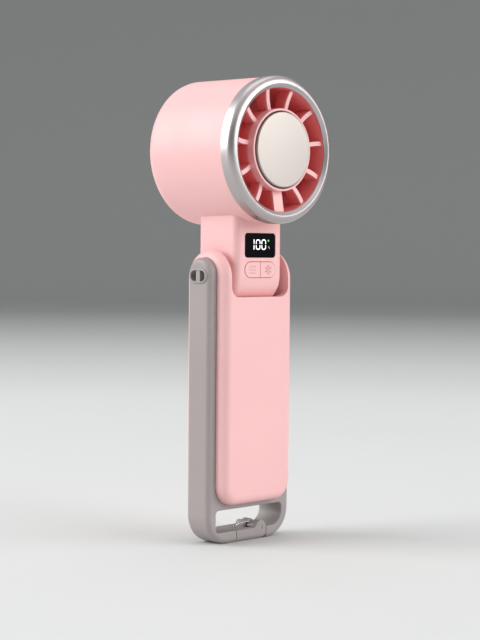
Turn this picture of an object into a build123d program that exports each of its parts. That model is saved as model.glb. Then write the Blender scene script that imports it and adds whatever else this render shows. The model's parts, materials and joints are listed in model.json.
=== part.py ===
"""Folding handheld turbo fan with a cooling plate, a neck hinge and a snap-hook handle.

Millimetres. +Z is up the handle, the air blows towards -Y, and the origin is the middle of the
foot. Every piece is its own solid and its own node.
"""
from build123d import *
import os

# ---- heights and axes -------------------------------------------------------------------
HINGE_Z = 113.85  # fold axis, along X
HEAD_Z = 166.9  # air axis, along Y

# ---- handle shells ----------------------------------------------------------------------
BODY_W, BODY_D = 41.4, 24.7
BODY_BOTTOM = 16.8
BODY_EDGE_R = 3.9
BODY_CORNER_R = 8.7
SHELL = 1.5
SPLIT_Y = 5.0  # plane where the front and rear covers meet
CAVITY_D, CAVITY_TOP = 21.1, 99.6
EAR_TOP_Z = HINGE_Z - 1.2  # centre of the ears' round tops
SLOT_W = 34.1  # gap between the two hinge ears
SLOT_LIP_Z = 104.95  # upper edge of the front wall below the neck
SLOT_CORNER_R = 4.5
BOSS_LENGTH = 2.4

# ---- grey side frame and its snap-hook loop ---------------------------------------------
FRAME_W, FRAME_D = 49.5, 13.6
FRAME_EDGE_R = 2.3
FRAME_CORNER_R = 12.5
FRAME_TOP_Z = 114.75  # centre of the rounded upper ends
FRAME_SEAT = 0.85  # how deep the frame sits in the handle's sides
FRAME_FIT = 0.1  # clearance of that seat
LOOP_BOTTOM, LOOP_TOP = 5.1, 14.6
LOOP_W = 39.7
LOOP_CORNER_R, LOOP_FOOT_R = 1.8, 6.0  # the foot corner follows the frame's outer corner
LOOP_EDGE_R = 0.6
GATE_PIVOT_X, GATE_PIVOT_Z = 7.2, 4.9  # the gate spans the middle of the loop's lower bar
GATE_LENGTH = 14.8  # from the pivot to the free end
GATE_GAP = 0.3
GATE_KNUCKLE_R, GATE_FOOT_R = 3.1, 2.7
# the gate's two cheeks: front and back face, and the blend from the bar up to the knuckle
GATE_CHEEKS = ((-FRAME_D / 2, -3.6, 1.2), (0.0, 3.0, 5.0))
GATE_PIN_R = 0.9
TONGUE_R, TONGUE_KNUCKLE_R = 5.1, 2.0
SHELF_Z = 2.3  # top of the frame's shelf under the spring
EYE_W, EYE_H, EYE_BEAD = 8.6, 4.6, 0.9  # lanyard eye, along Y and Z
EYE_PROUD = 0.6
EYE_BAR = 2.4

# ---- neck -------------------------------------------------------------------------------
NECK_W, NECK_D = 28.0, 23.9
NECK_EDGE_R = 3.1
NECK_WALL = 1.8
PIN_R, PIN_BORE_R = 2.0, 1.1
PIN_END_X, PIN_INNER_X = 19.4, 8.0
WASHER_T = 0.4
BUSH_R, BUSH_INNER_X = 3.2, 8.8
BUSH_CLEAR = 0.03
BOSS_R = 4.8
FOLD_CLEAR = 0.4

# ---- display and buttons ----------------------------------------------------------------
SCREEN_W, SCREEN_H, SCREEN_Z = 18.5, 10.3, 126.85
SCREEN_CORNER_R = 1.5
SCREEN_T = 1.2
BUTTONS_W, BUTTONS_H, BUTTONS_Z = 18.4, 6.6, 116.5
BUTTON_GAP = 0.2

# ---- head -------------------------------------------------------------------------------
HEAD_R_FRONT, HEAD_R_BACK = 30.7, 31.3
HEAD_BACK_Y, HEAD_FRONT_Y = 26.7, -21.6
HEAD_FILLET = 5.0
HEAD_WALL, HEAD_BACK_T = 2.2, 4.0
GRILLE_R, GRILLE_LEDGE, GRILLE_SET_BACK = 24.5, 1.5, 1.8
RING_R, RING_BACK_Y, RING_WIDE_Y = 31.0, -18.9, -22.0
LIP_R, LIP_Y = 27.6, -25.3
LIP_LAND_Y = -24.2  # where the ring's bevel ends in a narrow land over the duct
DUCT_R = 26.0
DUCT_WALL = 2.2
DUCT_FRONT_Y, DUCT_BACK_Y = -23.8, 9.0
HUB_R, HUB_RIM_Y, HUB_WALL = 17.3, -24.4, 1.0
HUB_FLOOR_Y = -9.0
VANES = 11
VANE_T, VANE_BACK_Y = 1.9, -15.9
VANE_HUB_Y, VANE_DUCT_Y = -21.4, -22.9  # the vanes' front edges lean forward from hub to duct
VANE_BOW = 0.5
STRUT_T, STRUT_BACK_Y = 5.6, -6.2
LEAD_R, LEAD_Y = 0.9, -8.0
PLATE_R, PLATE_Y = 15.8, -25.7

# ---- impeller and motor -----------------------------------------------------------------
BLADES = 9
BLADE_TIP_R, BLADE_T = 25.4, 1.2
IMPELLER_FRONT_Y, IMPELLER_BACK_Y = -5.0, 8.0
BLADE_TWIST = 38.0  # degrees from the blade's front edge to its back edge
SHAFT_R = 1.5
SHAFT_CLEAR = 0.03

# ---- cells and boards -------------------------------------------------------------------
CELL_R, CELL_LENGTH, CELL_BOTTOM = 9.1, 65.0, 25.0
BOARD_T = 1.2
SOCKET_W, SOCKET_H, SOCKET_DEPTH = 8.9, 3.2, 7.3
CHARGE_BOARD_Z = 90.6

os.makedirs("parts", exist_ok=True)


def save(piece, label):
    """Label a finished piece and write it as one STEP file."""
    piece.part.label = label
    export_step(piece.part, f"parts/{label}.step")


def outer_loop(block):
    """The sharp edges round a block's two broad faces, without its smooth seams."""
    edges = block.edges().filter_by(Axis.Y, reverse=True)
    return edges - edges.filter_by(Axis.X).group_by(Axis.Z)[-1]


def round_topped_block(width, depth, bottom, top_centre, corner_r, edge_r):
    """Upright block: rounded lower corners seen from the front, round top seen from the side."""
    with BuildPart() as block:
        with BuildSketch(Plane.YZ):
            with Locations((0, top_centre)):
                Circle(depth / 2)
            with Locations((0, (top_centre + bottom) / 2)):
                Rectangle(depth, top_centre - bottom)
        extrude(amount=width / 2, both=True)
        fillet(block.edges().filter_by(Axis.Y).group_by(Axis.Z)[0], corner_r)
        fillet(outer_loop(block), edge_r)
    return block.part


def body_outline(inset):
    """Front view of the handle's sides and foot, moved inwards by the inset; open at the top."""
    with BuildSketch(Plane.XZ) as outline:
        height = 150 - BODY_BOTTOM - inset
        with Locations((0, BODY_BOTTOM + inset + height / 2)):
            Rectangle(BODY_W - 2 * inset, height)
        fillet(outline.vertices().group_by(Axis.Y)[0], BODY_CORNER_R - inset)
    return outline.sketch


def fold_gap(reach):
    """Room for the neck and its knuckle: a pocket round the hinge, open at the front down to
    the lip, and open at the back down to the pocket's floor so that the head can fold back."""
    radius = NECK_D / 2 + FOLD_CLEAR
    with BuildPart() as gap:
        with BuildSketch(Plane.YZ):
            with Locations((0, HINGE_Z)):
                Circle(radius)
            with Locations((0, HINGE_Z + reach / 2)):
                Rectangle(2 * radius, reach)
        extrude(amount=SLOT_W / 2, both=True)
        for floor, direction in ((SLOT_LIP_Z, 1), (HINGE_Z - radius, -1)):
            with BuildSketch(Plane.XZ) as opening:
                with Locations((0, floor + reach / 2)):
                    Rectangle(SLOT_W, reach)
                fillet(opening.vertices().group_by(Axis.Y)[0], SLOT_CORNER_R)
            extrude(amount=direction * reach)
    return gap.part


def frame_seat():
    """What the handle's sides give up to the side frame: a shallow channel, round at its top."""
    with BuildSketch(Plane.XZ) as outside:
        with Locations((0, 75)):
            Rectangle(60, 150)
        add(body_outline(FRAME_SEAT), mode=Mode.SUBTRACT)
    with BuildPart() as seat:
        with BuildSketch(Plane.YZ):
            with Locations((0, FRAME_TOP_Z)):
                Circle(FRAME_D / 2 + FRAME_FIT)
            with Locations((0, FRAME_TOP_Z / 2)):
                Rectangle(FRAME_D + 2 * FRAME_FIT, FRAME_TOP_Z)
        extrude(amount=30, both=True)
        extrude(outside.sketch, amount=FRAME_D, both=True, mode=Mode.INTERSECT)
    return seat.part


def handle_shell():
    """Both handle covers as one: the outer form with its cavity, hinge slot and side seats."""
    with BuildPart() as shell:
        add(round_topped_block(BODY_W, BODY_D, BODY_BOTTOM, EAR_TOP_Z, BODY_CORNER_R, BODY_EDGE_R))
        with BuildSketch(Plane.XZ):
            add(body_outline(FRAME_SEAT + SHELL))
            with Locations((0, CAVITY_TOP / 2)):
                Rectangle(BODY_W, CAVITY_TOP, mode=Mode.INTERSECT)
        extrude(amount=CAVITY_D / 2, both=True, mode=Mode.SUBTRACT)
        add(fold_gap(60), mode=Mode.SUBTRACT)
        add(frame_seat(), mode=Mode.SUBTRACT)
        # bosses beside the neck, bored for the hinge pins
        for side in (-1, 1):
            with BuildSketch(Plane.YZ.offset(side * SLOT_W / 2)):
                with Locations((0, HINGE_Z)):
                    Circle(BOSS_R)
            extrude(amount=-side * BOSS_LENGTH)
        with BuildSketch(Plane.YZ):
            with Locations((0, HINGE_Z)):
                Circle(PIN_R)
        extrude(amount=PIN_END_X, both=True, mode=Mode.SUBTRACT)
    return shell.part


# ---- handle covers ----------------------------------------------------------------------
SCREW_PLACES = [(-11, 22.6), (11, 22.6), (-13, 97.2), (13, 97.2)]
SCREW_BOSS_R, SCREW_R, SCREW_HEAD_R, SCREW_HEAD_T = 2.0, 0.9, 1.8, 1.4
SCREW_TIP_Y = 0.0

with BuildPart() as front_cover:
    add(handle_shell())
    with BuildSketch(Plane.XZ.offset(-SPLIT_Y)):
        with Locations(*SCREW_PLACES):
            Circle(SCREW_BOSS_R)
    extrude(until=Until.NEXT)
    with BuildSketch(Plane.XZ.offset(-SPLIT_Y)):
        with Locations(*SCREW_PLACES):
            Circle(SCREW_R)
    extrude(amount=SPLIT_Y - SCREW_TIP_Y, mode=Mode.SUBTRACT)
    split(bisect_by=Plane.XZ.offset(-SPLIT_Y), keep=Keep.TOP)
save(front_cover, "front_cover")

with BuildPart() as rear_cover:
    add(handle_shell())
    split(bisect_by=Plane.XZ.offset(-SPLIT_Y), keep=Keep.BOTTOM)
    with BuildSketch(Plane.XZ.offset(-SPLIT_Y)):
        with Locations(*SCREW_PLACES):
            Circle(SCREW_BOSS_R)
    extrude(amount=SPLIT_Y - BODY_D / 2 + SHELL / 2)
    with Locations(*[Location((x, BODY_D / 2, z), (-90, 0, 0)) for x, z in SCREW_PLACES]):
        CounterBoreHole(SCREW_R, SCREW_HEAD_R, SCREW_HEAD_T + 0.2)
    with BuildSketch(Plane.XZ.offset(-BODY_D / 2)):
        with Locations((0, CHARGE_BOARD_Z + BOARD_T + SOCKET_H / 2)):
            SlotOverall(SOCKET_W + 0.2, SOCKET_H + 0.2)
    extrude(amount=4, mode=Mode.SUBTRACT)
save(rear_cover, "rear_cover")

with BuildPart() as cover_screws:
    with BuildSketch(Plane.XZ.offset(-BODY_D / 2 + 0.2)):
        with Locations(*SCREW_PLACES):
            Circle(SCREW_HEAD_R - 0.05)
            RegularPolygon(0.8, 6, mode=Mode.SUBTRACT)
    extrude(amount=0.9)
    with BuildSketch(Plane.XZ.offset(-BODY_D / 2 + 1.1)):
        with Locations(*SCREW_PLACES):
            Circle(SCREW_HEAD_R - 0.05)
    extrude(amount=SCREW_HEAD_T - 0.9)
    with BuildSketch(Plane.XZ.offset(-BODY_D / 2 + 1.5)):
        with Locations(*SCREW_PLACES):
            Circle(SCREW_R)
    extrude(amount=BODY_D / 2 - 1.5 - SCREW_TIP_Y - 0.2)
save(cover_screws, "cover_screws")

# ---- side frame, gate, gate pin and spring -----------------------------------------------


def frame_block():
    """The frame's outer form before its inside is cut away."""
    return round_topped_block(FRAME_W, FRAME_D, 0, FRAME_TOP_Z, FRAME_CORNER_R, FRAME_EDGE_R)


def gate_outline(end_clearance):
    """Front view of the gate; the clearance grows it into the gap that the frame leaves."""
    with BuildSketch(Plane.XZ) as outline:
        with Locations((GATE_PIVOT_X, GATE_PIVOT_Z)):
            Circle(GATE_LENGTH + end_clearance)
        right = GATE_PIVOT_X + GATE_KNUCKLE_R + end_clearance
        with Locations((right - 15, LOOP_BOTTOM / 2)):
            Rectangle(30, LOOP_BOTTOM, mode=Mode.INTERSECT)
    return outline.sketch


with BuildPart() as side_frame:
    add(frame_block())
    with BuildSketch(Plane.XZ):
        add(body_outline(FRAME_SEAT))
    extrude(amount=FRAME_D, both=True, mode=Mode.SUBTRACT)
    with BuildSketch(Plane.XZ) as window:
        with Locations((0, (LOOP_BOTTOM + LOOP_TOP) / 2)):
            Rectangle(LOOP_W, LOOP_TOP - LOOP_BOTTOM)
        fillet(window.vertices().group_by(Axis.X)[-1].sort_by(Axis.Y)[0], LOOP_FOOT_R)
        fillet(window.vertices().group_by(Axis.X)[0], LOOP_CORNER_R)
        fillet(window.vertices().group_by(Axis.Y)[-1].sort_by(Axis.X)[-1], LOOP_CORNER_R)
    extrude(amount=FRAME_D, both=True, mode=Mode.SUBTRACT)
    window_edges = side_frame.edges(Select.LAST).filter_by(Axis.Y, reverse=True)
    fillet(window_edges, LOOP_EDGE_R)
    with BuildSketch(Plane.XZ):
        add(gate_outline(GATE_GAP))
    extrude(amount=FRAME_D, both=True, mode=Mode.SUBTRACT)
    # shelf under the spring, and behind the gate's rear cheek the tongue that holds the pin
    for front, back, height in (
        (GATE_CHEEKS[0][1] + GATE_GAP, GATE_CHEEKS[1][0] - GATE_GAP, SHELF_Z),
        (GATE_CHEEKS[1][1] + GATE_GAP, FRAME_D / 2, LOOP_BOTTOM),
    ):
        with BuildSketch(Plane.XZ.offset(-front)):
            with Locations((GATE_PIVOT_X, GATE_PIVOT_Z)):
                Circle(TONGUE_R)
            with Locations((GATE_PIVOT_X + 2.5, height / 2)):
                Rectangle(TONGUE_R * 2 + 5, height, mode=Mode.INTERSECT)
            with Locations((GATE_PIVOT_X + GATE_KNUCKLE_R, height / 2)):
                Rectangle(GATE_KNUCKLE_R, height)
            if height == LOOP_BOTTOM:
                with Locations((GATE_PIVOT_X, GATE_PIVOT_Z)):
                    Circle(TONGUE_KNUCKLE_R)
        extrude(amount=front - back)
    with BuildSketch(Plane.XZ):
        with Locations((GATE_PIVOT_X, GATE_PIVOT_Z)):
            Circle(GATE_PIN_R)
    extrude(amount=FRAME_D, both=True, mode=Mode.SUBTRACT)
    # lanyard eye in the left side, with its bead and upright bar
    eye_plane = Plane(origin=(-FRAME_W / 2, 0, HINGE_Z), x_dir=(0, -1, 0), z_dir=(-1, 0, 0))
    with BuildSketch(eye_plane.offset(-1)):
        SlotOverall(EYE_W + 2 * EYE_BEAD, EYE_H + 2 * EYE_BEAD)
    extrude(amount=1 + EYE_PROUD)
    bead = side_frame.faces().sort_by(Axis.X)[0]
    fillet(bead.edges(), EYE_PROUD - 0.05)
    with BuildSketch(eye_plane.offset(EYE_PROUD + 1)):
        SlotOverall(EYE_W, EYE_H)
    extrude(amount=-12, mode=Mode.SUBTRACT)
    with BuildSketch(eye_plane.offset(EYE_PROUD - 0.25)):
        Rectangle(EYE_BAR, EYE_H + EYE_BEAD)
    extrude(amount=-2.0)
save(side_frame, "side_frame")

with BuildPart() as gate:
    with BuildSketch(Plane.XZ):
        add(gate_outline(0))
    extrude(amount=FRAME_D / 2, both=True)
    with BuildSketch(Plane.XZ):
        with Locations((GATE_PIVOT_X, GATE_PIVOT_Z)):
            Circle(TONGUE_R + GATE_GAP)
        with Locations((GATE_PIVOT_X + TONGUE_R, LOOP_BOTTOM / 2)):
            Rectangle(2 * TONGUE_R, LOOP_BOTTOM)
    extrude(amount=FRAME_D, both=True, mode=Mode.SUBTRACT)
    for front, back, blend in GATE_CHEEKS:
        with BuildSketch(Plane.XZ.offset(-front)) as cheek:
            add(gate_outline(0))
            with Locations((GATE_PIVOT_X, GATE_PIVOT_Z)):
                Circle(GATE_KNUCKLE_R)
            fillet(cheek.vertices().group_by(Axis.Y)[0].sort_by(Axis.X)[-1], GATE_FOOT_R)
            bar_top = cheek.vertices().filter_by_position(Axis.Y, LOOP_BOTTOM - 0.01, LOOP_BOTTOM + 0.01)
            fillet(bar_top.sort_by(Axis.X)[1], blend)
        extrude(amount=front - back)
    add(frame_block(), mode=Mode.INTERSECT)
    with BuildSketch(Plane.XZ):
        with Locations((GATE_PIVOT_X, GATE_PIVOT_Z)):
            Circle(GATE_PIN_R + BUSH_CLEAR)
    extrude(amount=FRAME_D, both=True, mode=Mode.SUBTRACT)
save(gate, "gate")

with BuildPart() as gate_pin:
    with BuildSketch(Plane.XZ.offset(-FRAME_D / 2 + 0.2)):
        with Locations((GATE_PIVOT_X, GATE_PIVOT_Z)):
            Circle(GATE_PIN_R)
    extrude(amount=FRAME_D - 0.4)
save(gate_pin, "gate_pin")

SPRING_R, WIRE_R, SPRING_TURNS, SPRING_PITCH = 1.9, 0.35, 5, 0.65
SPRING_FIRST_Y = -3.0
LEG_END_X, LEG_SLOPE = -3.5, 0.12

with BuildPart() as gate_spring:
    pivot_line = Axis((GATE_PIVOT_X, 0, GATE_PIVOT_Z), (0, 1, 0))
    for turn in range(SPRING_TURNS):
        with BuildSketch(Plane(origin=(GATE_PIVOT_X, 0, GATE_PIVOT_Z), z_dir=(0, 0, 1))):
            with Locations((SPRING_R, SPRING_FIRST_Y + turn * SPRING_PITCH)):
                Circle(WIRE_R)
        revolve(axis=pivot_line)
    leg_y = SPRING_FIRST_Y + (SPRING_TURNS - 1) * SPRING_PITCH
    leg_z = GATE_PIVOT_Z + SPRING_R
    with BuildSketch(Plane(origin=(GATE_PIVOT_X, leg_y, leg_z), z_dir=(-1, 0, -LEG_SLOPE))):
        Circle(WIRE_R)
    extrude(amount=GATE_PIVOT_X - LEG_END_X)
save(gate_spring, "gate_spring")

# ---- cells, charging board and socket ------------------------------------------------------
for side, label in ((-1, "battery_left"), (1, "battery_right")):
    with BuildPart() as cell:
        with BuildSketch(Plane.XY.offset(CELL_BOTTOM)):
            with Locations((side * (CELL_R + 0.05), 0)):
                Circle(CELL_R)
        extrude(amount=CELL_LENGTH)
        fillet(cell.edges().filter_by(GeomType.CIRCLE), 0.6)
    save(cell, label)

STRIP_L, STRIP_W, STRIP_T = 26, 6, 0.3
with BuildPart() as cell_strips:
    for height in (CELL_BOTTOM - STRIP_T, CELL_BOTTOM + CELL_LENGTH):
        with BuildSketch(Plane.XY.offset(height)):
            RectangleRounded(STRIP_L, STRIP_W, 1.5)
        extrude(amount=STRIP_T)
save(cell_strips, "cell_strips")

CHARGE_BOARD_W, CHARGE_BOARD_D, CHIP_T = 34, 18, 1.6
with BuildPart() as charge_board:
    with BuildSketch(Plane.XY.offset(CHARGE_BOARD_Z)):
        RectangleRounded(CHARGE_BOARD_W, CHARGE_BOARD_D, 1)
    extrude(amount=BOARD_T)
    with BuildSketch(Plane.XY.offset(CHARGE_BOARD_Z + BOARD_T)):
        with Locations((-10, -3)):
            Rectangle(5, 5)
        with Locations((9, -4)):
            Rectangle(7, 4)
    extrude(amount=CHIP_T)
save(charge_board, "charge_board")

SOCKET_Z = CHARGE_BOARD_Z + BOARD_T + SOCKET_H / 2
SOCKET_WALL, CONTACT_W, CONTACT_T = 0.3, 6.4, 0.7
with BuildPart() as charge_socket:
    with BuildSketch(Plane.XZ.offset(-BODY_D / 2 + 0.1)):
        with Locations((0, SOCKET_Z)):
            SlotOverall(SOCKET_W, SOCKET_H)
    extrude(amount=SOCKET_DEPTH)
    with BuildSketch(Plane.XZ.offset(-BODY_D / 2 + 0.1)):
        with Locations((0, SOCKET_Z)):
            SlotOverall(SOCKET_W - 2 * SOCKET_WALL, SOCKET_H - 2 * SOCKET_WALL)
    extrude(amount=SOCKET_DEPTH - 1, mode=Mode.SUBTRACT)
    with BuildSketch(Plane.XZ.offset(-BODY_D / 2 + 0.9)):
        with Locations((0, SOCKET_Z)):
            Rectangle(CONTACT_W, CONTACT_T)
    extrude(amount=SOCKET_DEPTH - 1)
save(charge_socket, "charge_socket")

# ---- hinge: pins in the ears, bushes in the neck, washers between ---------------------------
for side, word in ((-1, "left"), (1, "right")):
    with BuildPart() as hinge_pin:
        with BuildSketch(Plane.YZ.offset(side * PIN_INNER_X)):
            with Locations((0, HINGE_Z)):
                Circle(PIN_R)
                Circle(PIN_BORE_R, mode=Mode.SUBTRACT)
        extrude(amount=side * (PIN_END_X - PIN_INNER_X))
    save(hinge_pin, f"hinge_pin_{word}")

    with BuildPart() as hinge_washer:
        with BuildSketch(Plane.YZ.offset(side * (SLOT_W / 2 - BOSS_LENGTH))):
            with Locations((0, HINGE_Z)):
                Circle(BOSS_R - 0.3)
                Circle(PIN_R, mode=Mode.SUBTRACT)
        extrude(amount=-side * WASHER_T)
    save(hinge_washer, f"hinge_washer_{word}")

    with BuildPart() as hinge_bush:
        with BuildSketch(Plane.YZ.offset(side * NECK_W / 2)):
            with Locations((0, HINGE_Z)):
                Circle(BUSH_R)
                Circle(PIN_R + BUSH_CLEAR, mode=Mode.SUBTRACT)
        extrude(amount=-side * (NECK_W / 2 - BUSH_INNER_X))
    save(hinge_bush, f"hinge_bush_{word}")

# ---- head: planes square to the air axis, and sections through it ---------------------------
AIR_AXIS = Axis((0, 0, HEAD_Z), (0, 1, 0))
SECTION = Plane(origin=(0, 0, HEAD_Z), x_dir=(1, 0, 0), z_dir=(0, 0, 1))


def air_plane(y):
    """Plane square to the air axis at this depth; its normal points out of the front."""
    return Plane(origin=(0, y, HEAD_Z), x_dir=(1, 0, 0), z_dir=(0, -1, 0))


def ring_section(inner, outer, front, back):
    """Rectangle between two radii and two depths, to be revolved round the air axis."""
    with BuildSketch(SECTION) as ring:
        with Locations(((inner + outer) / 2, (front + back) / 2)):
            Rectangle(outer - inner, back - front)
    return ring.sketch


def neck_solid(wall):
    """Neck with a half-round knuckle about the hinge, moved inwards by the wall."""
    top = HEAD_Z - HEAD_R_FRONT + HEAD_WALL + 6
    with BuildPart() as solid:
        with BuildSketch(Plane.YZ):
            with Locations((0, HINGE_Z)):
                Circle(NECK_D / 2 - wall)
            with Locations((0, (HINGE_Z + top) / 2)):
                Rectangle(NECK_D - 2 * wall, top - HINGE_Z)
        extrude(amount=NECK_W / 2 - wall, both=True)
        sides = solid.edges().filter_by(Axis.Z) + solid.edges().filter_by(GeomType.CIRCLE)
        fillet(sides, NECK_EDGE_R - wall)
    return solid.part


def buttons_outline(growth):
    """Stadium that holds both buttons, grown outwards."""
    with BuildSketch(Plane.XZ) as stadium:
        with Locations((0, BUTTONS_Z)):
            SlotOverall(BUTTONS_W + 2 * growth, BUTTONS_H + 2 * growth)
    return stadium.sketch


NECK_FRONT_Y = -NECK_D / 2
NECK_INNER_Y = NECK_FRONT_Y + NECK_WALL

with BuildPart() as head_housing:
    with BuildSketch(SECTION) as barrel:
        with BuildLine():
            Polyline(
                (0, HEAD_FRONT_Y),
                (RING_R - 1.0, HEAD_FRONT_Y),
                (RING_R - 1.0, RING_BACK_Y + 0.15),
                (HEAD_R_FRONT, RING_BACK_Y + 0.15),
                (HEAD_R_BACK, HEAD_BACK_Y),
                (0, HEAD_BACK_Y),
                close=True,
            )
        make_face()
        fillet(barrel.vertices().sort_by(Axis.Y)[-2:].sort_by(Axis.X)[-1], HEAD_FILLET)
    revolve(axis=AIR_AXIS)
    add(neck_solid(0))
    add(neck_solid(NECK_WALL), mode=Mode.SUBTRACT)
    # bore from the front, and the intake opening with its ledge at the back
    for radius, front, back in (
        (DUCT_R + DUCT_WALL + 0.1, HEAD_FRONT_Y - 5, HEAD_BACK_Y - HEAD_BACK_T),
        (GRILLE_R - GRILLE_LEDGE, 0, HEAD_BACK_Y + 5),
        (GRILLE_R + 0.1, 0, HEAD_BACK_Y - GRILLE_SET_BACK),
    ):
        revolve(ring_section(0, radius, front, back), axis=AIR_AXIS, mode=Mode.SUBTRACT)
    # hinge bosses inside the neck, bored for the bushes
    for side in (-1, 1):
        with BuildSketch(Plane.YZ.offset(side * (NECK_W / 2 - 1))):
            with Locations((0, HINGE_Z)):
                Circle(BOSS_R)
        extrude(amount=-side * (NECK_W / 2 - 1 - BUSH_INNER_X))
    with BuildSketch(Plane.YZ):
        with Locations((0, HINGE_Z)):
            Circle(BUSH_R)
    extrude(amount=NECK_W, both=True, mode=Mode.SUBTRACT)
    # display seat and its window, and the opening for the buttons
    with BuildSketch(Plane.XZ.offset(-NECK_FRONT_Y)):
        with Locations((0, SCREEN_Z)):
            RectangleRounded(SCREEN_W + 0.2, SCREEN_H + 0.2, SCREEN_CORNER_R + 0.1)
    extrude(amount=-SCREEN_T, mode=Mode.SUBTRACT)
    with BuildSketch(Plane.XZ.offset(-NECK_FRONT_Y)):
        with Locations((0, SCREEN_Z)):
            Rectangle(SCREEN_W - 2.5, SCREEN_H - 2.3)
    extrude(amount=-NECK_WALL - 1, mode=Mode.SUBTRACT)
    extrude(buttons_outline(BUTTON_GAP), amount=NECK_D, mode=Mode.SUBTRACT)
save(head_housing, "head_housing")

with BuildPart() as trim_ring:
    with BuildSketch(SECTION):
        with BuildLine():
            skirt = RING_R - 1.0
            crown = RING_R - 3.0
            seat_r, seat_y = DUCT_R + DUCT_WALL + 0.1, DUCT_FRONT_Y - 0.1
            Line((skirt, RING_BACK_Y), (RING_R, RING_BACK_Y))
            Line((RING_R, RING_BACK_Y), (RING_R, RING_WIDE_Y))
            ThreePointArc((RING_R, RING_WIDE_Y), (30.1, -24.33), (crown, LIP_Y))
            Line((crown, LIP_Y), (LIP_R, LIP_Y))
            Line((LIP_R, LIP_Y), (DUCT_R + 0.1, LIP_LAND_Y))
            Polyline(
                (DUCT_R + 0.1, LIP_LAND_Y),
                (DUCT_R + 0.1, seat_y),
                (seat_r, seat_y),
                (seat_r, HEAD_FRONT_Y),
                (skirt, HEAD_FRONT_Y),
                (skirt, RING_BACK_Y),
            )
        make_face()
    revolve(axis=AIR_AXIS)
    lip_edges = trim_ring.edges().group_by(Axis.Y)[0]
    fillet(lip_edges, 0.25)
save(trim_ring, "trim_ring")


def guide_vanes():
    """Bowed vanes from hub to duct, evenly spaced, with one place left free at the bottom."""
    step = 360 / VANES
    with BuildSketch(air_plane(VANE_DUCT_Y)) as vanes:
        sweep_angle = 360 - 2 * step
        with PolarLocations(0, VANES - 1, step - 90, sweep_angle, endpoint=True):
            with BuildLine(mode=Mode.PRIVATE) as camber:
                ThreePointArc((HUB_R, 0), ((HUB_R + DUCT_R) / 2, VANE_BOW), (DUCT_R + 0.6, 0))
            SlotArc(camber.edges()[0], VANE_T)
    return vanes.sketch


with BuildPart() as vane_ring:
    extrude(guide_vanes(), amount=VANE_DUCT_Y - VANE_BACK_Y)
    # the bottom strut is wider and deeper, and the motor's lead comes up through it
    with BuildSketch(air_plane(VANE_DUCT_Y)):
        with Locations((0, -(HUB_R + DUCT_R) / 2)):
            Rectangle(STRUT_T, DUCT_R - HUB_R + 1.4)
    extrude(amount=VANE_DUCT_Y - STRUT_BACK_Y)
    # trim the front edges back towards the hub
    with BuildSketch(SECTION):
        with BuildLine():
            Polyline(
                (HUB_R - HUB_WALL, VANE_HUB_Y),
                (HUB_R, VANE_HUB_Y),
                (DUCT_R, VANE_DUCT_Y),
                (DUCT_R, HUB_RIM_Y),
                (HUB_R - HUB_WALL, HUB_RIM_Y),
                close=True,
            )
        make_face()
    revolve(axis=AIR_AXIS, mode=Mode.SUBTRACT)
    revolve(ring_section(DUCT_R, DUCT_R + DUCT_WALL, DUCT_FRONT_Y, DUCT_BACK_Y), axis=AIR_AXIS)
    revolve(ring_section(HUB_R - HUB_WALL, HUB_R, HUB_RIM_Y, HUB_FLOOR_Y), axis=AIR_AXIS)
    revolve(ring_section(0, HUB_R, HUB_FLOOR_Y - 1.2, HUB_FLOOR_Y), axis=AIR_AXIS)
    with BuildSketch(Plane.XY.offset(HEAD_Z - DUCT_R - DUCT_WALL - 1)):
        with Locations((0, LEAD_Y)):
            Circle(LEAD_R + 0.1)
    extrude(amount=15, mode=Mode.SUBTRACT)
    fillet(vane_ring.edges().group_by(Axis.Y)[0], 0.3)
save(vane_ring, "vane_ring")

PLATE_T, PLATE_EDGE_R, PLATE_CROWN = 2.3, 0.5, 0.35
with BuildPart() as cold_plate:
    with BuildSketch(air_plane(PLATE_Y)):
        Circle(PLATE_R)
    extrude(amount=-PLATE_T)
    crown_r = (PLATE_R**2 + PLATE_CROWN**2) / (2 * PLATE_CROWN)
    with Locations((0, PLATE_Y + crown_r, HEAD_Z)):
        Sphere(crown_r, mode=Mode.INTERSECT)
    fillet(cold_plate.edges().filter_by(GeomType.CIRCLE).sort_by(Axis.Y)[0], PLATE_EDGE_R)
save(cold_plate, "cold_plate")

COOLER_FRONT_Y = PLATE_Y + PLATE_T
COOLER_SIDE, COOLER_T = 20, 3.4
with BuildPart() as cooling_module:
    with BuildSketch(air_plane(COOLER_FRONT_Y)):
        RectangleRounded(COOLER_SIDE, COOLER_SIDE, 0.5)
    extrude(amount=-COOLER_T)
save(cooling_module, "cooling_module")

SINK_FRONT_Y = COOLER_FRONT_Y + COOLER_T
SINK_R, SINK_BASE_T, FINS, FIN_PITCH, FIN_T = 14.5, 1.6, 11, 2.6, 0.9
with BuildPart() as heat_sink:
    with BuildSketch(air_plane(SINK_FRONT_Y)):
        Circle(SINK_R)
    extrude(amount=-SINK_BASE_T)
    with BuildSketch(air_plane(SINK_FRONT_Y + SINK_BASE_T)):
        with GridLocations(FIN_PITCH, 0, FINS, 1):
            Rectangle(FIN_T, 2 * SINK_R)
        Circle(SINK_R, mode=Mode.INTERSECT)
    extrude(amount=SINK_FRONT_Y + SINK_BASE_T - (HUB_FLOOR_Y - 1.4))
save(heat_sink, "heat_sink")

with BuildPart() as motor_lead:
    with BuildSketch(Plane.XY.offset(SCREEN_Z + 7)):
        with Locations((0, LEAD_Y)):
            Circle(LEAD_R)
    extrude(amount=HEAD_Z - 13 - SCREEN_Z - 7)
save(motor_lead, "motor_lead")

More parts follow.
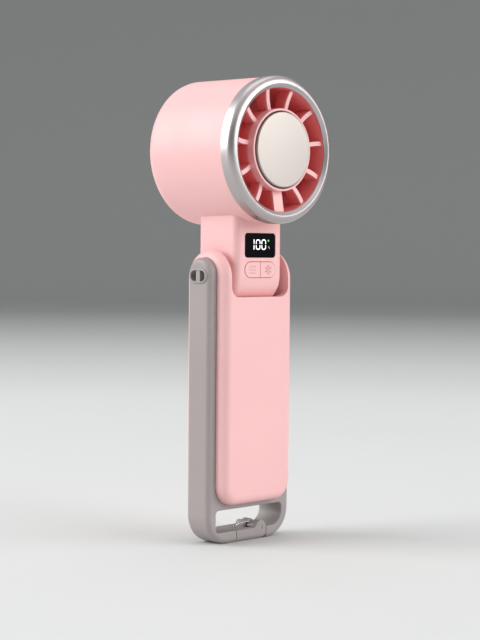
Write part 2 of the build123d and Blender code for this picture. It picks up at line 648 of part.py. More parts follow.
# ---- motor: mount and stator stay, bell, magnet, shaft and impeller turn --------------------
MOUNT_FLANGE_R, MOUNT_TUBE_R, BEARING_R, BEARING_L = 9.0, 4.2, 3.2, 2.5
MOUNT_BACK_Y = 2.6
STATOR_R, STATOR_FRONT_Y, STATOR_BACK_Y, POLES = 11.9, -5.2, 1.6, 9
MAGNET_R, BELL_R, BELL_T, BELL_FRONT_Y, BELL_BACK_Y = 14.0, 15.2, 1.2, -5.0, 5.2
CUP_R, CUP_BACK_Y = 16.8, 7.0
SHAFT_BACK_Y = CUP_BACK_Y - 0.6
STATOR_CORE_R, POLE_W, POLE_SHOE_W, POLE_SHOE_T = 7.0, 2.4, 6.2, 1.4

with BuildPart() as motor_mount:
    flange_back = HUB_FLOOR_Y + 1.2
    revolve(ring_section(0, MOUNT_FLANGE_R, HUB_FLOOR_Y, flange_back), axis=AIR_AXIS)
    revolve(ring_section(BEARING_R, MOUNT_TUBE_R, flange_back, MOUNT_BACK_Y), axis=AIR_AXIS)
save(motor_mount, "motor_mount")

BEARING_FRONTS = (HUB_FLOOR_Y + 1.2, MOUNT_BACK_Y - BEARING_L)
with BuildPart() as motor_bearings:
    for front in BEARING_FRONTS:
        revolve(ring_section(SHAFT_R + SHAFT_CLEAR, BEARING_R, front, front + BEARING_L), axis=AIR_AXIS)
save(motor_bearings, "motor_bearings")

with BuildPart() as motor_stator:
    with BuildSketch(air_plane(STATOR_FRONT_Y)):
        Circle(STATOR_CORE_R)
        with PolarLocations(STATOR_R / 2, POLES):
            Rectangle(STATOR_R, POLE_W)
        with PolarLocations(STATOR_R - POLE_SHOE_T / 2, POLES):
            Rectangle(POLE_SHOE_T, POLE_SHOE_W)
        Circle(STATOR_R, mode=Mode.INTERSECT)
        Circle(MOUNT_TUBE_R, mode=Mode.SUBTRACT)
    extrude(amount=STATOR_FRONT_Y - STATOR_BACK_Y)
save(motor_stator, "motor_stator")

with BuildPart() as rotor_magnet:
    revolve(ring_section(STATOR_R + 0.5, MAGNET_R, STATOR_FRONT_Y, STATOR_BACK_Y), axis=AIR_AXIS)
save(rotor_magnet, "rotor_magnet")

with BuildPart() as rotor_bell:
    revolve(ring_section(MAGNET_R, BELL_R, BELL_FRONT_Y, BELL_BACK_Y), axis=AIR_AXIS)
    revolve(ring_section(SHAFT_R, BELL_R, BELL_BACK_Y - BELL_T, BELL_BACK_Y), axis=AIR_AXIS)
save(rotor_bell, "rotor_bell")

with BuildPart() as motor_shaft:
    revolve(ring_section(0, SHAFT_R, HUB_FLOOR_Y + 1.5, SHAFT_BACK_Y), axis=AIR_AXIS)
save(motor_shaft, "motor_shaft")


def impeller_blade():
    """One blade about +Z: a thin radial section that turns as it goes back."""
    length = IMPELLER_BACK_Y - IMPELLER_FRONT_Y
    root = BELL_R + 1.0
    with BuildPart() as blade:
        for share in (0, 0.5, 1):
            turned = Plane.XY.offset(-length * share).rotated((0, 0, BLADE_TWIST * (share - 0.5)))
            with BuildSketch(turned):
                with Locations(((root + BLADE_TIP_R) / 2, 0)):
                    Rectangle(BLADE_TIP_R - root, BLADE_T)
        loft()
    return blade.part


with BuildPart() as impeller:
    with BuildSketch(SECTION) as cup:
        with Locations(((BELL_R + CUP_R) / 2, (IMPELLER_FRONT_Y + BELL_BACK_Y) / 2)):
            Rectangle(CUP_R - BELL_R, BELL_BACK_Y - IMPELLER_FRONT_Y)
        with Locations((CUP_R / 2, (BELL_BACK_Y + CUP_BACK_Y) / 2)):
            Rectangle(CUP_R, CUP_BACK_Y - BELL_BACK_Y)
        fillet(cup.vertices().group_by(Axis.Y)[-1].sort_by(Axis.X)[-1], 1.5)
    revolve(axis=AIR_AXIS)
    with Locations(air_plane(IMPELLER_FRONT_Y)):
        with PolarLocations(0, BLADES):
            add(impeller_blade())
    shaft_hole = ring_section(0, SHAFT_R, BELL_BACK_Y - 3, SHAFT_BACK_Y)
    revolve(shaft_hole, axis=AIR_AXIS, mode=Mode.SUBTRACT)
save(impeller, "impeller")

# ---- intake grille at the back ----------------------------------------------------------------
GRILLE_T, GRILLE_RAISED_R, GRILLE_FACE_Y = 1.2, GRILLE_R - 1.6, HEAD_BACK_Y - 0.6
GRILLE_SLOT_W = 2.0
GRILLE_ROWS = ((18.2, 36, 7.6), (9.8, 18, 6.4))  # middle radius, number and length of the slots
with BuildPart() as intake_grille:
    grille_seat = HEAD_BACK_Y - GRILLE_SET_BACK
    revolve(ring_section(0, GRILLE_R, grille_seat - GRILLE_T, grille_seat), axis=AIR_AXIS)
    revolve(ring_section(0, GRILLE_RAISED_R, grille_seat, GRILLE_FACE_Y), axis=AIR_AXIS)
    with BuildSketch(air_plane(grille_seat - GRILLE_T - 1)):
        for radius, count, length in GRILLE_ROWS:
            with PolarLocations(radius, count):
                SlotOverall(length, GRILLE_SLOT_W)
    extrude(amount=-6, mode=Mode.SUBTRACT)
save(intake_grille, "intake_grille")

# ---- display, boards and switches ---------------------------------------------------------------
with BuildPart() as display_window:
    with BuildSketch(Plane.XZ.offset(-NECK_FRONT_Y - 0.1)):
        with Locations((0, SCREEN_Z)):
            RectangleRounded(SCREEN_W, SCREEN_H, SCREEN_CORNER_R)
    extrude(amount=-SCREEN_T + 0.1)
    fillet(display_window.faces().sort_by(Axis.Y)[0].edges(), 0.2)
save(display_window, "display_window")

SMALL_BOARD_W, DISPLAY_BOARD_H, CONTROL_BOARD_H, CONTROL_BOARD_Z = 22, 12, 25, 121
with BuildPart() as display_board:
    with BuildSketch(Plane.XZ.offset(-NECK_INNER_Y)):
        with Locations((0, SCREEN_Z)):
            RectangleRounded(SMALL_BOARD_W, DISPLAY_BOARD_H, 0.6)
    extrude(amount=-1.0)
    with BuildSketch(Plane.XZ.offset(-NECK_INNER_Y)):
        with Locations((0, SCREEN_Z)):
            Rectangle(SCREEN_W - 3, SCREEN_H - 2.8)
    extrude(amount=NECK_WALL - SCREEN_T)
save(display_board, "display_board")

CONTROL_Y = -6.6
SWITCH_SIDE, SWITCH_T, PLUNGER_R, PLUNGER_T = 4, 1.6, 0.9, 0.2
with BuildPart() as control_board:
    with BuildSketch(Plane.XZ.offset(-CONTROL_Y)):
        with Locations((0, CONTROL_BOARD_Z)):
            RectangleRounded(SMALL_BOARD_W, CONTROL_BOARD_H, 1)
    extrude(amount=-BOARD_T)
save(control_board, "control_board")

BUTTON_CENTRE_X = BUTTONS_W / 4
with BuildPart() as switches:
    with BuildSketch(Plane.XZ.offset(-CONTROL_Y)):
        with Locations((-BUTTON_CENTRE_X, BUTTONS_Z), (BUTTON_CENTRE_X, BUTTONS_Z)):
            Rectangle(SWITCH_SIDE, SWITCH_SIDE)
    extrude(amount=SWITCH_T)
    with BuildSketch(Plane.XZ.offset(-CONTROL_Y + SWITCH_T)):
        with Locations((-BUTTON_CENTRE_X, BUTTONS_Z), (BUTTON_CENTRE_X, BUTTONS_Z)):
            Circle(PLUNGER_R)
    extrude(amount=PLUNGER_T)
save(switches, "switches")

# ---- buttons: half a stadium each, with a flange behind the wall and a stem -----------------------
BUTTON_PROUD = 0.25
FLANGE_BACK_Y, FLANGE_GROWTH, FLANGE_T = -9.05, 0.9, 0.8
for side, label in ((-1, "wind_button"), (1, "cooling_button")):
    with BuildPart() as button:
        with BuildSketch(Plane.XZ.offset(-FLANGE_BACK_Y)):
            add(buttons_outline(0))
            with Locations((side * (BUTTON_GAP / 2 + 10), BUTTONS_Z)):
                Rectangle(20, 20, mode=Mode.INTERSECT)
        extrude(amount=BUTTON_PROUD + FLANGE_BACK_Y - NECK_FRONT_Y)
        fillet(button.faces().sort_by(Axis.Y)[0].edges(), 0.2)
        with BuildSketch(Plane.XZ.offset(-FLANGE_BACK_Y)):
            add(buttons_outline(FLANGE_GROWTH))
            with Locations((side * (BUTTON_GAP / 2 + 10), BUTTONS_Z)):
                Rectangle(20, 20, mode=Mode.INTERSECT)
        extrude(amount=FLANGE_T)
    save(button, label)
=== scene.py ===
import json
from math import cos, pi, radians, sin

import bmesh
import bpy
from mathutils import Matrix, Vector


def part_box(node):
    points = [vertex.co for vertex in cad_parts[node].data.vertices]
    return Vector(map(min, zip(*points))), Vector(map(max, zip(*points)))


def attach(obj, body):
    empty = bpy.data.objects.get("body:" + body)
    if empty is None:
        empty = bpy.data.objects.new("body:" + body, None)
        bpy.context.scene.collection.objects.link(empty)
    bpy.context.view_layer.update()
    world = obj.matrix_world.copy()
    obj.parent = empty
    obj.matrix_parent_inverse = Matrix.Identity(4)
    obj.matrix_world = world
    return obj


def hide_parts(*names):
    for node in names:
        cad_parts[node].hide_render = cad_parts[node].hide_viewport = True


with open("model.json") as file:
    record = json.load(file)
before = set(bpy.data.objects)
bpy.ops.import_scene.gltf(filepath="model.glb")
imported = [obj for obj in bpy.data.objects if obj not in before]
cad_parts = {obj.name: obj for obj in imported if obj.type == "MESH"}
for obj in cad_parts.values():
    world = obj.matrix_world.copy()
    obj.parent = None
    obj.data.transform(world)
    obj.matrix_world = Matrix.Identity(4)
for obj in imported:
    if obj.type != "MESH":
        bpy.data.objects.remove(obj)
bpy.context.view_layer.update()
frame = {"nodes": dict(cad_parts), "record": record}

MM = 0.001
nodes = frame["nodes"]

# ---- the object's own places, read from the frame ------------------------------------------


def centre(node):
    """Middle of a CAD node's box, in metres."""
    low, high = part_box(node)
    return (low + high) / 2


VANES_LOW, VANES_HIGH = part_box("vane_ring")
DUCT_WALL = 2.2 * MM
DUCT_R = (VANES_HIGH.x - VANES_LOW.x) / 2 - DUCT_WALL
HUB_R = 17.3 * MM
HUB_STANDS_OUT = 3.0 * MM  # how far the hub's rim stands out past the vanes' inner ends
VANE_LEAN = 1.5 * MM / (DUCT_R - HUB_R)
SCREEN_LOW, SCREEN_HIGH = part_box("display_window")


# ---- camera -----------------------------------------------------------------------------------
def add_camera():
    """Camera at the photograph's height and angle, with its slight roll."""
    azimuth, elevation, roll = radians(-45.18), radians(2.42), radians(0.48)
    distance, lens = 0.71346, 93.13
    aim_height, aim_right = 0.0947, 0.00013
    back = Vector((sin(azimuth) * cos(elevation), -cos(azimuth) * cos(elevation), sin(elevation)))
    right = Vector((cos(azimuth), sin(azimuth), 0))
    up = back.cross(right)
    across = cos(roll) * right + sin(roll) * up
    upward = cos(roll) * up - sin(roll) * right
    place = right * aim_right + Vector((0, 0, aim_height)) + back * distance
    data = bpy.data.cameras.new("camera")
    data.lens = lens
    data.sensor_width = 36
    data.clip_start, data.clip_end = 0.01, 20
    camera = bpy.data.objects.new("camera", data)
    turn = Matrix((across, upward, back)).transposed()
    camera.matrix_world = Matrix.Translation(place) @ turn.to_4x4()
    bpy.context.scene.collection.objects.link(camera)
    bpy.context.scene.camera = camera
    return right, up, back


# ---- node-tree helpers ----------------------------------------------------------------------
MIX_SHARE, MIX_FIRST, MIX_SECOND, MIX_RESULT = 0, 6, 7, 2  # a Mix node's sockets for colours


class Tree:
    """A material's node tree with short calls for the nodes used here."""

    def __init__(self, name):
        self.material = bpy.data.materials.new(name)
        self.material.use_nodes = True
        self.nodes = self.material.node_tree.nodes
        self.links = self.material.node_tree.links
        self.shader = self.nodes["Principled BSDF"]
        self.place = self.nodes.new("ShaderNodeTexCoord").outputs["Object"]

    def link(self, source, target):
        self.links.new(source, target)

    def give(self, value, socket):
        """Link a texture to a socket, or set the socket to a constant."""
        if hasattr(value, "is_output"):
            self.link(value, socket)
        else:
            socket.default_value = value

    def feed(self, socket, source):
        """Link a texture to the shader's socket of this name."""
        self.link(source, self.shader.inputs[socket])

    def length(self, source):
        """Length of a vector."""
        node = self.nodes.new("ShaderNodeVectorMath")
        node.operation = "LENGTH"
        self.link(source, node.inputs[0])
        return node.outputs["Value"]

    def compute(self, operation, *values):
        """Arithmetic on textures and constants."""
        node = self.nodes.new("ShaderNodeMath")
        node.operation = operation
        for value, socket in zip(values, node.inputs):
            self.give(value, socket)
        return node.outputs["Value"]

    def noise(self, scale, detail, stretch=None, rough=0.5):
        """Noise over the object's own coordinates; the scale is in cycles per metre."""
        source = self.place
        if stretch:
            mapping = self.nodes.new("ShaderNodeMapping")
            mapping.inputs["Scale"].default_value = stretch
            self.link(source, mapping.inputs["Vector"])
            source = mapping.outputs["Vector"]
        texture = self.nodes.new("ShaderNodeTexNoise")
        texture.inputs["Scale"].default_value = scale
        texture.inputs["Detail"].default_value = detail
        texture.inputs["Roughness"].default_value = rough
        self.link(source, texture.inputs["Vector"])
        return texture.outputs["Fac"]

    def spread(self, value, low, high, from_low=0.3, from_high=0.7):
        """Map a texture's usual span to a chosen span."""
        node = self.nodes.new("ShaderNodeMapRange")
        node.inputs["From Min"].default_value = from_low
        node.inputs["From Max"].default_value = from_high
        node.inputs["To Min"].default_value = low
        node.inputs["To Max"].default_value = high
        self.link(value, node.inputs["Value"])
        return node.outputs["Result"]

    def mix(self, share, first, second):
        """Mix of two colours by a texture."""
        node = self.nodes.new("ShaderNodeMix")
        node.data_type = "RGBA"
        for index, colour in ((MIX_FIRST, first), (MIX_SECOND, second)):
            plain = isinstance(colour, tuple)
            self.give((*colour, 1) if plain else colour, node.inputs[index])
        self.link(share, node.inputs[MIX_SHARE])
        return node.outputs[MIX_RESULT]

    def bump(self, height, distance, strength, before=None):
        """Bump of this height texture, its depth in metres, over an earlier normal if given."""
        node = self.nodes.new("ShaderNodeBump")
        node.inputs["Distance"].default_value = distance
        node.inputs["Strength"].default_value = strength
        self.link(height, node.inputs["Height"])
        if before is not None:
            self.link(before, node.inputs["Normal"])
        return node.outputs["Normal"]

    def painted_duct_shade_mask(self):
        """Mask for painted shade in the duct: from 0 on the vanes' leaning front edges to 1 behind
        them and on the duct's wall.
        """
        across = self.nodes.new("ShaderNodeMapping")
        across.inputs["Scale"].default_value = (1, 0, 1)
        across.inputs["Location"].default_value = (0, 0, -centre("vane_ring").z)
        self.link(self.place, across.inputs["Vector"])
        radius = self.length(across.outputs["Vector"])
        wall = self.spread(radius, 0, 1, DUCT_R - 0.4 * MM, DUCT_R - 0.1 * MM)
        split = self.nodes.new("ShaderNodeSeparateXYZ")
        self.link(self.place, split.inputs["Vector"])
        depth = self.compute("MULTIPLY_ADD", radius, VANE_LEAN, split.outputs["Y"])
        front = VANES_LOW.y + HUB_STANDS_OUT + VANE_LEAN * HUB_R
        deep = self.spread(depth, 0, 1, front + 0.2 * MM, front + 1.3 * MM)
        return self.compute("MAXIMUM", deep, wall)

    def soft_edges(self, radius):
        """Normals rounded over sharp edges."""
        node = self.nodes.new("ShaderNodeBevel")
        node.samples = 6
        node.inputs["Radius"].default_value = radius
        return node.outputs["Normal"]

    def set(self, **values):
        """Constants on the shader's own sockets; underscores in names stand for spaces."""
        for name, value in values.items():
            self.shader.inputs[name.replace("_", " ")].default_value = value


def moulded_plastic(name, colour, deep, roughness=0.42, edge=0.25 * MM, painted_shade=None):
    """Satin moulded plastic: a fine spark-eroded grain, slow colour drift and faint handling marks.

    The last argument, if given, is a deeper red painted on the duct's wall and on all that lies
    deep in it: painted shade standing in for the dim, interreflected light in the duct, not a
    colour of the plastic."""
    tree = Tree(name)
    if painted_shade:
        # painted shade: the duct's wall and all behind the vanes' front edges turn a deeper red
        share = tree.painted_duct_shade_mask()
        colour, deep = tree.mix(share, colour, painted_shade), tree.mix(share, deep, painted_shade)
    drift = tree.spread(tree.noise(28, 3), 0, 1)
    speck = tree.spread(tree.noise(2600, 2), 0, 1, 0.42, 0.72)
    tint = tree.mix(tree.spread(drift, 0, 0.35, 0, 1), colour, deep)
    tree.feed("Base Color", tree.mix(tree.spread(speck, 0, 0.10, 0, 1), tint, deep))
    marks = tree.noise(90, 6, stretch=(1, 1, 0.25), rough=0.7)
    tree.feed("Roughness", tree.spread(marks, roughness - 0.05, roughness + 0.06))
    grain = 0.012 * MM
    fine = tree.bump(tree.noise(3800, 3), grain, 0.6, tree.soft_edges(edge))
    tree.feed("Normal", tree.bump(tree.noise(160, 2), grain * 3, 0.35, fine))
    tree.set(IOR=1.46)
    return tree.material


def metal(name, colour, dark, roughness, scale, stretch=None, grain=0.006 * MM, contrast=0.5):
    """Finished metal: fine grain or brushing, with patches a little rougher than others."""
    tree = Tree(name)
    brushed = tree.noise(scale, 4, stretch=stretch, rough=0.65)
    cloud = tree.spread(tree.noise(60, 3), 0, 1)
    tone = tree.mix(tree.spread(brushed, 0, contrast), colour, dark)
    tree.feed("Base Color", tree.mix(tree.spread(cloud, 0, contrast / 2, 0, 1), tone, dark))
    tree.feed("Roughness", tree.spread(brushed, roughness - 0.04, roughness + 0.08 * contrast))
    tree.feed("Normal", tree.bump(brushed, grain, 0.5))
    tree.set(Metallic=1.0)
    return tree.material


def black_gloss(name):
    """Black window: deep gloss with faint smears and a hint of dust."""
    tree = Tree(name)
    dust = tree.spread(tree.noise(5200, 1), 0, 1, 0.70, 0.86)
    tree.feed("Base Color", tree.mix(dust, (0.004, 0.004, 0.005), (0.03, 0.03, 0.034)))
    smear = tree.noise(120, 5, stretch=(1, 1, 0.4), rough=0.7)
    tree.feed("Roughness", tree.spread(smear, 0.10, 0.20))
    rounded = tree.soft_edges(0.2 * MM)
    tree.feed("Normal", tree.bump(tree.noise(300, 2), 0.004 * MM, 0.3, rounded))
    tree.set(Specular_IOR_Level=0.03)
    return tree.material


def glowing(name, colour, strength):
    """Lit display segment, a little uneven along its length."""
    tree = Tree(name)
    uneven = tree.spread(tree.noise(1400, 2), 0.85, 1.0)
    light = tree.mix(uneven, tuple(part * 0.7 for part in colour), colour)
    tree.feed("Base Color", light)
    tree.feed("Emission Color", light)
    tree.set(Emission_Strength=strength, Roughness=0.4)
    return tree.material


def circuit_board(name):
    """Green solder mask with lighter track lines and a soft gloss."""
    tree = Tree(name)
    tracks = tree.nodes.new("ShaderNodeTexBrick")
    tracks.inputs["Scale"].default_value = 420
    tracks.inputs["Color1"].default_value = (0.010, 0.10, 0.045, 1)
    tracks.inputs["Color2"].default_value = (0.012, 0.13, 0.055, 1)
    tracks.inputs["Mortar"].default_value = (0.03, 0.22, 0.09, 1)
    tree.link(tree.place, tracks.inputs["Vector"])
    tree.feed("Base Color", tracks.outputs["Color"])
    tree.feed("Roughness", tree.spread(tree.noise(700, 2), 0.25, 0.4))
    tree.feed("Normal", tree.bump(tracks.outputs["Fac"], 0.03 * MM, 0.5))
    return tree.material


# ---- colours and the material of each slot ---------------------------------------------------
PINK, PINK_DEEP = (0.91, 0.535, 0.535), (0.88, 0.48, 0.485)
# deeper red painted deep in the duct: painted shade for its dim recess, not a colour of the plastic
PAINTED_DUCT_SHADE = (0.88, 0.235, 0.235)
GREY, GREY_DEEP = (0.365, 0.325, 0.322), (0.32, 0.28, 0.28)

materials = {
    "pink_shell": moulded_plastic("pink_satin_plastic", PINK, PINK_DEEP),
    # vane ring and duct: the same pink plastic, with painted shade deep in the duct
    "pink_inner": moulded_plastic("pink_duct_plastic_painted_shade", PINK, PINK_DEEP, 0.40, painted_shade=PAINTED_DUCT_SHADE),
    "pink_button": moulded_plastic("pink_button_plastic", PINK, PINK_DEEP, 0.46, edge=0.15 * MM),
    "grey_frame": moulded_plastic("grey_satin_plastic", GREY, GREY_DEEP, 0.42),
    "silver_ring": metal("satin_silver", (0.52, 0.475, 0.475), (0.44, 0.40, 0.405), 0.38,
                         scale=2600, grain=0.0004 * MM, contrast=0.15),
    "cold_plate": metal("blasted_cold_plate", (0.55, 0.505, 0.475), (0.48, 0.435, 0.41), 0.50,
                        scale=3600, grain=0.004 * MM, contrast=0.4),
    "heat_sink": metal("plain_aluminium", (0.70, 0.71, 0.72), (0.58, 0.59, 0.60), 0.34,
                       scale=1500, stretch=(1, 6, 1)),
    "steel": metal("bright_steel", (0.66, 0.64, 0.61), (0.46, 0.44, 0.42), 0.22,
                   scale=2400, stretch=(1, 5, 1), grain=0.002 * MM),
    "bush": moulded_plastic("acetal", (0.80, 0.78, 0.72), (0.70, 0.68, 0.62), 0.35),
    "ceramic": moulded_plastic("ceramic", (0.84, 0.83, 0.80), (0.74, 0.73, 0.70), 0.5),
    "windings": metal("copper_windings", (0.60, 0.26, 0.10), (0.32, 0.12, 0.05), 0.3,
                      scale=2600, stretch=(1, 8, 1)),
    "magnet": metal("bonded_magnet", (0.10, 0.10, 0.11), (0.05, 0.05, 0.06), 0.5, scale=2600),
    "lead": moulded_plastic("lead_sleeve", (0.02, 0.02, 0.02), (0.01, 0.01, 0.01), 0.5),
    "black_gloss": black_gloss("black_window"),
    "board": circuit_board("circuit_board"),
    "switch": moulded_plastic("switch_plastic", (0.03, 0.03, 0.03), (0.02, 0.02, 0.02), 0.4),
    "cell": moulded_plastic("cell_sleeve", (0.10, 0.20, 0.42), (0.06, 0.13, 0.30), 0.3),
}


def dress_nodes():
    """Give every CAD node the material of its slot."""
    for entry in frame["record"]["subparts"]:
        node = nodes[entry["node"]]
        node.data.materials.clear()
        node.data.materials.append(materials[entry["material_slot"]])


# ---- mesh helpers ---------------------------------------------------------------------------
def mesh_piece(name, mesh_maker, material, body):
    """A new object from a bmesh filled by mesh_maker, riding on a body."""
    work = bmesh.new()
    mesh_maker(work)
    bmesh.ops.recalc_face_normals(work, faces=work.faces)
    data = bpy.data.meshes.new(name)
    work.to_mesh(data)
    work.free()
    data.materials.append(material)
    piece = bpy.data.objects.new(name, data)
    bpy.context.scene.collection.objects.link(piece)
    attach(piece, body)
    return piece


def prism(work, outline, y_front, y_back):
    """Solid between two depths from a closed outline of (x, z) points seen from the front."""
    front = [work.verts.new((x, y_front, z)) for x, z in outline]
    back = [work.verts.new((x, y_back, z)) for x, z in outline]
    work.faces.new(front)
    work.faces.new(list(reversed(back)))
    count = len(outline)
    for index in range(count):
        after = (index + 1) % count
        work.faces.new((front[after], front[index], back[index], back[after]))


def stroke(points, width, steps=6):
    """Outline of a round-ended line through (x, z) points, as one closed loop."""
    half = width / 2
    sides = [[], []]
    for index, point in enumerate(points):
        before = points[max(index - 1, 0)]
        after = points[min(index + 1, len(points) - 1)]
        along = Vector((after[0] - before[0], after[1] - before[1])).normalized()
        aside = Vector((-along.y, along.x)) * half
        sides[0].append((point[0] + aside.x, point[1] + aside.y))
        sides[1].append((point[0] - aside.x, point[1] - aside.y))
    loop = list(sides[0])
    for end, towards, side in ((points[-1], points[-2], 1), (points[0], points[1], -1)):
        along = Vector((end[0] - towards[0], end[1] - towards[1])).normalized()
        aside = Vector((-along.y, along.x))
        for step in range(1, steps):
            angle = pi * step / steps
            way = aside * cos(angle) + along * sin(angle)
            loop.append((end[0] + way.x * half, end[1] + way.y * half))
        if side == 1:
            loop.extend(reversed(sides[1]))
    return loop


# ---- display: three digits, a dot and a small mark --------------------------------------------
def add_display():
    """Lit figures just proud of the black window."""
    white = glowing("lit_white", (1.0, 1.0, 0.98), 0.9)
    green = glowing("lit_green", (0.06, 0.62, 0.08), 1.0)
    dim = glowing("lit_dim", (0.45, 0.46, 0.48), 0.7)
    front = SCREEN_LOW.y - 0.02 * MM
    back = SCREEN_LOW.y + 0.05 * MM
    width = SCREEN_HIGH.x - SCREEN_LOW.x
    height = SCREEN_HIGH.z - SCREEN_LOW.z

    def across(share):
        return SCREEN_LOW.x + share * width

    def upwards(share):
        return SCREEN_LOW.z + share * height

    middle_z = upwards(0.535)
    half_tall = 2.0 * MM
    line = 0.44 * MM
    gap = 0.42 * MM

    def zero(work, x):
        """Rounded figure with a break at half height on both sides."""
        half_wide, corner, steps = 1.15 * MM, 0.85 * MM, 4
        for way in (1, -1):
            points = [(x - half_wide, middle_z + way * gap)]
            for side, first in ((-1, pi), (1, pi / 2)):
                for step in range(steps + 1):
                    angle = first - step * pi / 2 / steps
                    points.append((x + side * (half_wide - corner) + corner * cos(angle),
                                   middle_z + way * (half_tall - corner + corner * sin(angle))))
            points.append((x + half_wide, middle_z + way * gap))
            prism(work, stroke(points, line), front, back)

    def one(work, x):
        """Two short bars, one over the other."""
        for way in (1, -1):
            ends = [(x, middle_z + way * gap), (x, middle_z + way * half_tall)]
            prism(work, stroke(ends, line), front, back)

    def digits(work):
        one(work, across(0.30))
        zero(work, across(0.435))
        zero(work, across(0.62))

    def dot(work):
        x, z = across(0.775), upwards(0.70)
        radius, sides = 0.42 * MM, 24
        angles = [2 * pi * side / sides for side in range(sides)]
        ring = [(x + radius * cos(angle), z + radius * sin(angle)) for angle in angles]
        prism(work, ring, front, back)

    def mark(work):
        x, z = across(0.795), upwards(0.41)
        ends = [(x - 0.35 * MM, z + 0.45 * MM), (x + 0.4 * MM, z - 0.40 * MM)]
        prism(work, stroke(ends, 0.28 * MM), front, back)

    mesh_piece("display_digits", digits, white, "head")
    mesh_piece("display_dot", dot, green, "head")
    mesh_piece("display_mark", mark, dim, "head")


# ---- buttons' marks ----------------------------------------------------------------------------
def add_button_marks():
    """Faint marks for the buttons' engraved icons, three wavy lines for wind and a six-armed star
    for cooling, coloured a darker pink as painted shade in their grooves.
    """
    # darker pink: painted shade standing in for the shadow inside the engraved lines
    material = moulded_plastic("button_mark_painted_groove_shade", (0.80, 0.40, 0.40), (0.76, 0.36, 0.36), 0.5)
    line, proud, sunk, inwards = 0.32 * MM, 0.015 * MM, 0.05 * MM, 0.35 * MM

    def face_of(button, shift):
        """Where a mark stands on a button: its middle's x and z, then its front and its back."""
        middle, face = centre(button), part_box(button)[0].y
        return middle.x + shift, middle.z, face - proud, face + sunk

    def waves(work):
        x, z, front, back = face_of("wind_button", inwards)
        length, row_gap, swing, steps = 3.6 * MM, 1.35 * MM, 0.24 * MM, 12
        for row in (-1, 0, 1):
            points = []
            for step in range(steps + 1):
                along = step / steps - 0.5
                points.append((x + along * length, z + row * row_gap + swing * sin(4 * pi * along)))
            prism(work, stroke(points, line), front, back)

    def star(work):
        x, z, front, back = face_of("cooling_button", -inwards)
        middle, arms = Vector((x, z)), 6
        inner, outer, root_at = 0.35 * MM, 2.0 * MM, 1.25 * MM
        twig_along, twig_aside, twig_line = 0.5 * MM, 0.55 * MM, 0.8 * line
        for arm in range(arms):
            angle = pi / 6 + arm * 2 * pi / arms
            way, aside = Vector((cos(angle), sin(angle))), Vector((-sin(angle), cos(angle)))
            spine = [middle + way * inner, middle + way * outer]
            prism(work, stroke(spine, line), front, back)
            root = middle + way * root_at
            for side in (-1, 1):
                tip = root + way * twig_along + aside * side * twig_aside
                prism(work, stroke([root, tip], twig_line), front, back)

    mesh_piece("wind_mark", waves, material, "wind_button")
    mesh_piece("cooling_mark", star, material, "cooling_button")


# ---- the gate's spring as one wire ------------------------------------------------------------
def tube(work, path, radius, sides=12):
    """Round wire along a path of points, closed at both ends."""
    rings = []
    aside = Vector((0, 1, 0))
    for index, point in enumerate(path):
        before, after = path[max(index - 1, 0)], path[min(index + 1, len(path) - 1)]
        along = (after - before).normalized()
        aside = (aside - along * aside.dot(along)).normalized()
        other = along.cross(aside)
        angles = [2 * pi * k / sides for k in range(sides)]
        rings.append([
            work.verts.new(point + (aside * cos(angle) + other * sin(angle)) * radius)
            for angle in angles
        ])
    for first, second in zip(rings, rings[1:]):
        for k in range(sides):
            work.faces.new((first[k], first[(k + 1) % sides], second[(k + 1) % sides], second[k]))
    work.faces.new(list(reversed(rings[0])))
    work.faces.new(rings[-1])


def add_gate_spring():
    """Helical torsion spring round the gate's pin, one leg resting on the gate."""
    low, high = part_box("gate_spring")
    pivot = centre("gate_pin")
    wire = 0.35 * MM
    coil = high.x - pivot.x - wire
    first_y, last_y = low.y + wire, high.y - wire
    turns, steps = 4.25, 28
    path = []
    for step in range(int(turns * steps) + 1):
        angle = pi / 2 - 2 * pi * (step / steps - turns)
        share = step / (turns * steps)
        path.append(Vector((pivot.x + coil * cos(angle), first_y + (last_y - first_y) * share,
                            pivot.z + coil * sin(angle))))
    # the leg leaves the top of the coil, runs almost level, then bends down to the gate
    knee_x, knee_drop, end_drop, end_inset = 0.3 * MM, 0.15 * MM, 1.25 * MM, 0.2 * MM
    start, top = path[-1], pivot.z + coil
    knee = Vector((knee_x, last_y, top - knee_drop))
    leg_end = Vector((low.x + end_inset, last_y, top - end_drop))
    path += [start.lerp(knee, step / 6) for step in range(1, 6)]
    path += [knee.lerp(leg_end, 0.08), knee.lerp(leg_end, 0.5), leg_end]
    spring = mesh_piece("gate_spring_wire", lambda work: tube(work, path, wire),
                        materials["steel"], "gate")
    for face in spring.data.polygons:
        face.use_smooth = True
    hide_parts("gate_spring")


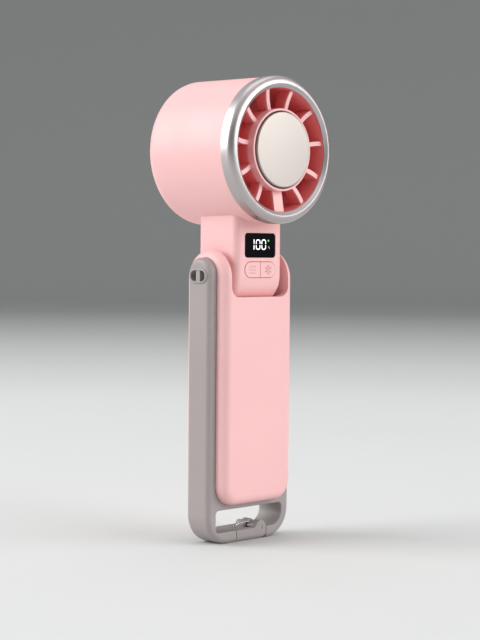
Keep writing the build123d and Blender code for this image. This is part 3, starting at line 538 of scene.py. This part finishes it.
# ---- backdrop and lights -----------------------------------------------------------------------
def add_backdrop():
    """Plain pale floor that curves up into a round wall, darker away from its middle by painted
    shade.
    """
    tree = Tree("studio_floor")
    near = tree.mix(tree.noise(3, 2), (0.66, 0.67, 0.665), (0.63, 0.64, 0.635))
    # painted shade: the floor's colour darkens from 0.7 m to 2.6 m out, standing in for the light
    # falling off
    painted_falloff = tree.spread(tree.length(tree.place), 0, 1, 0.7, 2.6)
    tone = tree.mix(painted_falloff, near, (0.33, 0.34, 0.337))
    tree.feed("Base Color", tone)
    tree.feed("Roughness", tree.spread(tree.noise(40, 3), 0.75, 0.85))
    tree.set(Specular_IOR_Level=0.2)
    flat, bend, wall, bend_steps, around = 3.2, 2.0, 3.4, 24, 96
    profile = [(flat * share, 0) for share in (0.3, 0.6, 0.85)]
    for step in range(bend_steps + 1):
        angle = step * pi / 2 / bend_steps
        profile.append((flat + bend * sin(angle), bend - bend * cos(angle)))
    profile.append((flat + bend, wall))
    angles = [2 * pi * k / around for k in range(around)]
    work = bmesh.new()
    rings = [
        [work.verts.new((r * cos(angle), r * sin(angle), z)) for angle in angles]
        for r, z in profile
    ]
    work.faces.new(rings[0])
    for lower, upper in zip(rings, rings[1:]):
        for k in range(around):
            work.faces.new((lower[k], upper[k], upper[(k + 1) % around], lower[(k + 1) % around]))
    data = bpy.data.meshes.new("backdrop")
    work.to_mesh(data)
    work.free()
    for face in data.polygons:
        face.use_smooth = True
    data.materials.append(tree.material)
    backdrop = bpy.data.objects.new("backdrop", data)
    bpy.context.scene.collection.objects.link(backdrop)


def add_light(name, place, aim, size, power):
    """Soft rectangular light that looks at a point."""
    data = bpy.data.lights.new(name, "AREA")
    data.shape = "RECTANGLE"
    data.size, data.size_y = size
    data.energy = power
    light = bpy.data.objects.new(name, data)
    light.location = place
    light.rotation_euler = (aim - place).to_track_quat("-Z", "Y").to_euler()
    bpy.context.scene.collection.objects.link(light)


def add_lights(right, up, back):
    """A large soft light on either side of the camera's line and a weaker one above."""
    bpy.context.scene.view_settings.view_transform = "Standard"
    world = bpy.data.worlds.new("studio")
    bpy.context.scene.world = world
    world.use_nodes = True
    background = world.node_tree.nodes["Background"]
    background.inputs["Color"].default_value = (0.87, 0.875, 0.875, 1)
    background.inputs["Strength"].default_value = 0.74
    aim = Vector((0, 0, 0.11))
    # how far right of the aim, towards the camera and up each light stands, its size and power
    for name, aside, nearer, above, size, power in (
        ("softbox_left", -2.3, 0.29, 1.10, (1.9, 1.9), 63),
        ("softbox_right", 2.3, 0.80, 0.90, (2.9, 1.8), 53),
        ("top", 0, -0.3, 1.6, (1.2, 1.2), 5),
    ):
        add_light(name, aim + right * aside + back * nearer + up * above, aim, size, power)


def write_sizes():
    """Only defines a helper that turns a box's corners into plain lists of numbers; nothing is
    recorded.
    """
    def plain(bounds):
        return [[float(value) for value in corner] for corner in bounds]


RIGHT, UP, BACK = add_camera()
dress_nodes()
add_display()
add_button_marks()
add_gate_spring()
add_backdrop()
add_lights(RIGHT, UP, BACK)
write_sizes()
